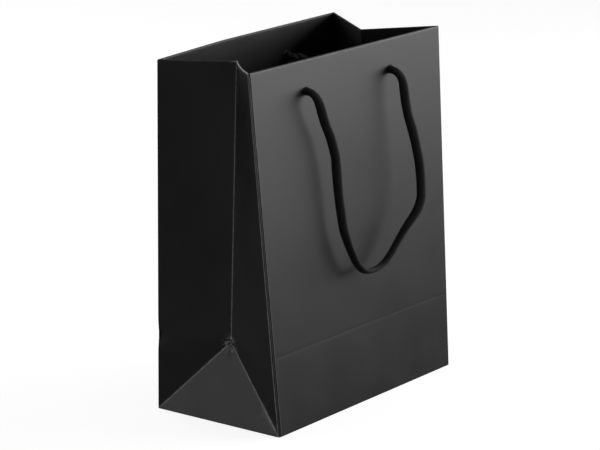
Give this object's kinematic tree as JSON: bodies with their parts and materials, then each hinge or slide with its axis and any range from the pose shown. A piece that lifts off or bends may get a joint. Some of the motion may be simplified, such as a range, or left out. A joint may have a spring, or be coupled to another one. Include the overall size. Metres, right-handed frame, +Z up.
{
  "type": "gift bag",
  "caption": "Small black paper gift bag with creased side gussets, a turned-in top and two braided rope handles, each knotted inside.",
  "frame": {"origin": "middle of the base, on the surface the bag stands on", "axes": "+Z up, +X to the right along the front panel, -Y out of the front panel"},
  "size_m": [0.18, 0.1347, 0.23],
  "materials": {
    "paper": "matt laminated",
    "card": "bare board",
    "rope": "braided cord"
  },
  "bodies": {
    "bag": {"front_panel": "paper", "back_panel": "paper", "left_gusset_front_leaf": "paper", "left_gusset_rear_leaf": "paper", "left_foot_triangle": "paper", "right_gusset_front_leaf": "paper", "right_gusset_rear_leaf": "paper", "right_foot_triangle": "paper", "side_seam_flap": "paper", "front_hem": "paper", "back_hem": "paper", "left_gusset_front_hem": "paper", "left_gusset_rear_hem": "paper", "right_gusset_front_hem": "paper", "right_gusset_rear_hem": "paper", "front_bottom_flap": "paper", "back_bottom_flap": "paper", "left_bottom_flap": "paper", "right_bottom_flap": "paper", "front_stiffener": "card", "back_stiffener": "card", "front_knot_left": "rope", "front_knot_right": "rope", "back_knot_left": "rope", "back_knot_right": "rope", "front_rope_bend_left": "rope", "front_rope_bend_right": "rope", "back_rope_bend_left": "rope", "back_rope_bend_right": "rope"},
    "front_handle": {"front_rope_loop": "rope"},
    "back_handle": {"back_rope_loop": "rope"},
    "base_board": {"base_board": "card"}
  },
  "joints": [
    {"name": "front_handle_swing", "type": "hinge", "parent": "bag", "child": "front_handle", "pos_m": [-0.00036, -0.04503, 0.20964], "axis": [-0.9982, 0.0608, 0], "range_deg": [0, 165], "deforming": ["front_rope_bend_left", "front_rope_bend_right"]},
    {"name": "back_handle_swing", "type": "hinge", "parent": "bag", "child": "back_handle", "pos_m": [0.00003, 0.04997, 0.20992], "axis": [1, -0.0057, 0], "range_deg": [0, 165], "deforming": ["back_rope_bend_left", "back_rope_bend_right"]},
    {"name": "base_board_lift", "type": "slide", "parent": "bag", "child": "base_board", "axis": [0, 0, 1], "range_m": [0, 0.012]}
  ]
}
